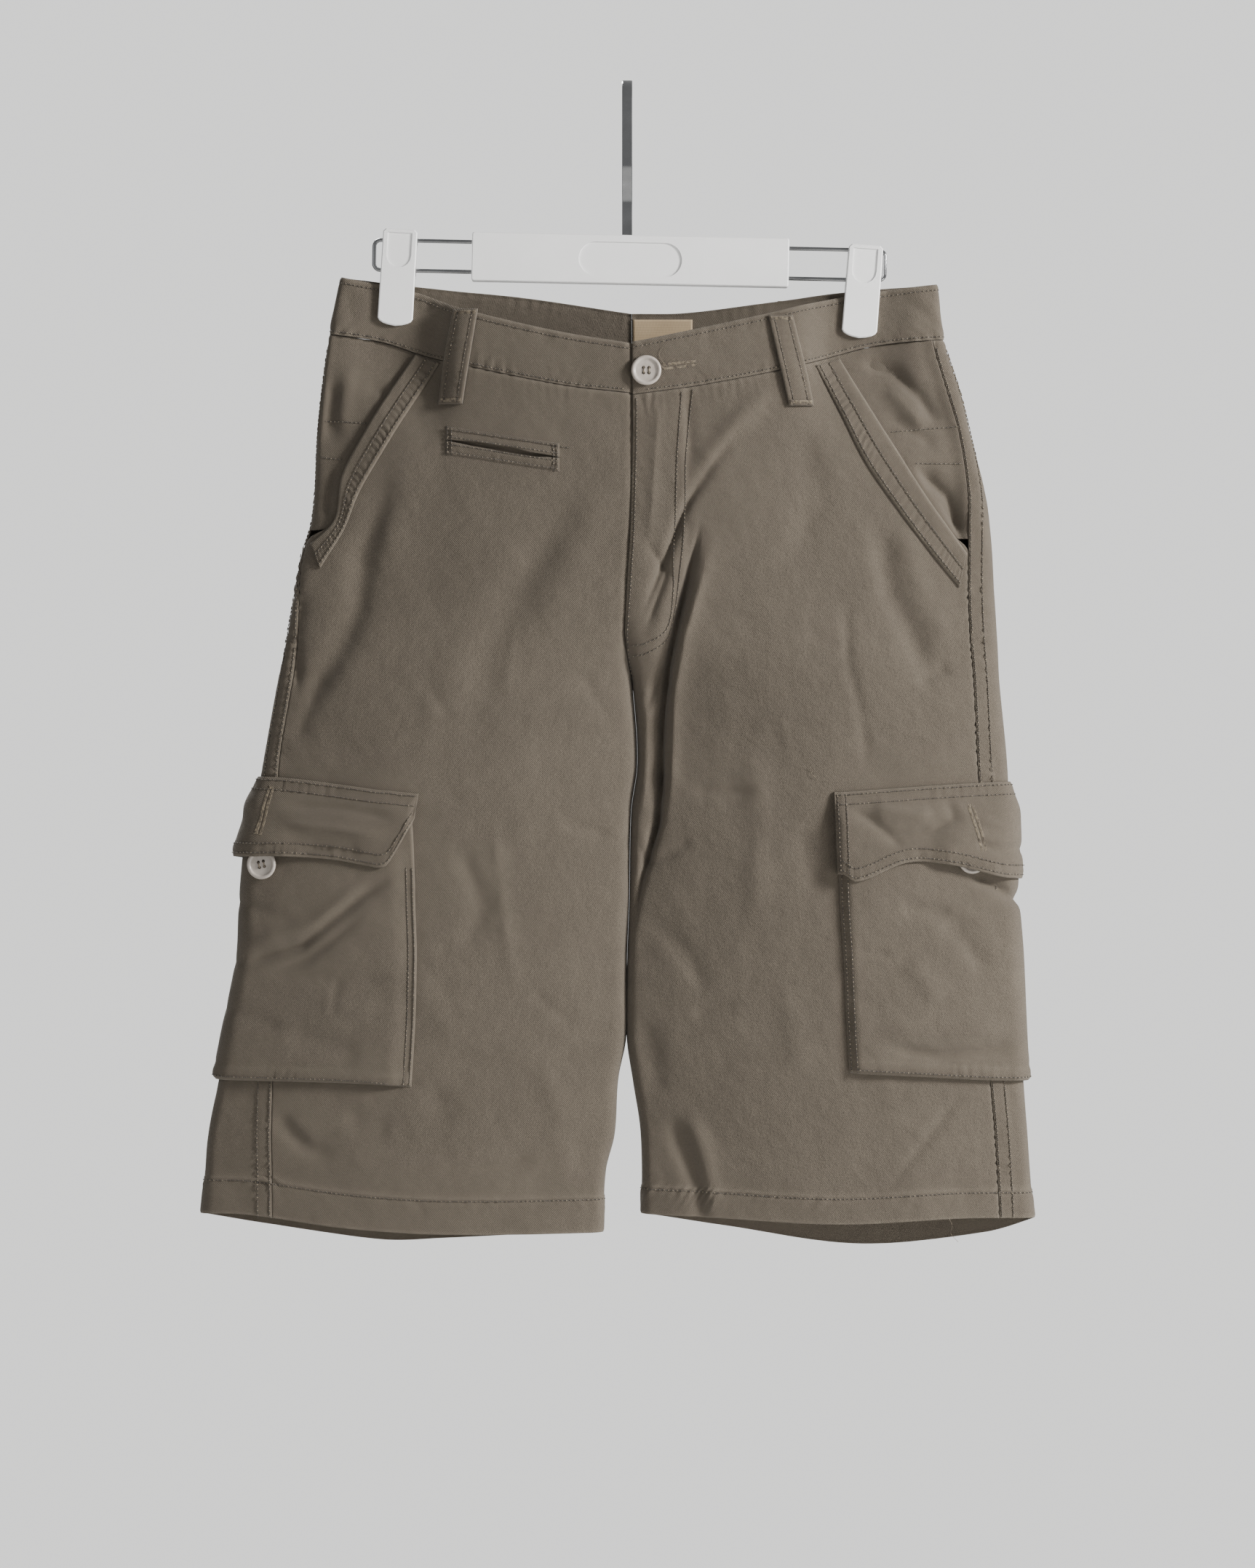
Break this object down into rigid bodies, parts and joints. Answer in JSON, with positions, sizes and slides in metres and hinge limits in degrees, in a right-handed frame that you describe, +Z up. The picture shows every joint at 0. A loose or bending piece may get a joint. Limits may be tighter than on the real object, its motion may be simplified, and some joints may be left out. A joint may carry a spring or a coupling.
{
  "type": "cargo shorts on a clip hanger",
  "caption": "Knee-length twill cargo shorts with slant pockets, flapped side pockets and belt loops, hanging from two clips of a plain hanger with a strap hook.",
  "frame": {"origin": "inside top of the hanger's hook, where it rests on its rail", "axes": "+Z up, -Y out of the front of the shorts, +X to the right of a viewer in front"},
  "size_m": [0.5727, 0.0603, 0.802],
  "materials": {
    "twill": "washed cotton twill, matt, worn lighter along the seams",
    "label": "smooth woven beige",
    "button": "satin, four holes, raised rim",
    "white_plastic": "smooth moulded white",
    "chrome": "bright plated steel"
  },
  "bodies": {
    "root": {"front_left": "twill", "front_right": "twill", "back_left": "twill", "back_right": "twill", "waistband_left": "twill", "waistband_right": "twill", "pocket_facing_left": "twill", "pocket_facing_right": "twill", "pocket_band_left": "twill", "pocket_band_right": "twill", "cargo_pocket_left": "twill", "cargo_pocket_right": "twill", "cargo_flap_left": "twill", "cargo_flap_right": "twill", "belt_loop_front_left": "twill", "belt_loop_front_right": "twill", "belt_loop_back_left": "twill", "belt_loop_back_middle": "twill", "belt_loop_back_right": "twill", "coin_lip_upper": "twill", "coin_lip_lower": "twill", "label": "label", "waist_button": "button", "cargo_button_left": "button", "cargo_button_right": "button", "hanger_bar": "white_plastic", "clip_left": "white_plastic", "clip_right": "white_plastic", "hanger_hook": "chrome", "wire_left": "chrome", "wire_right": "chrome"}
  },
  "joints": []
}
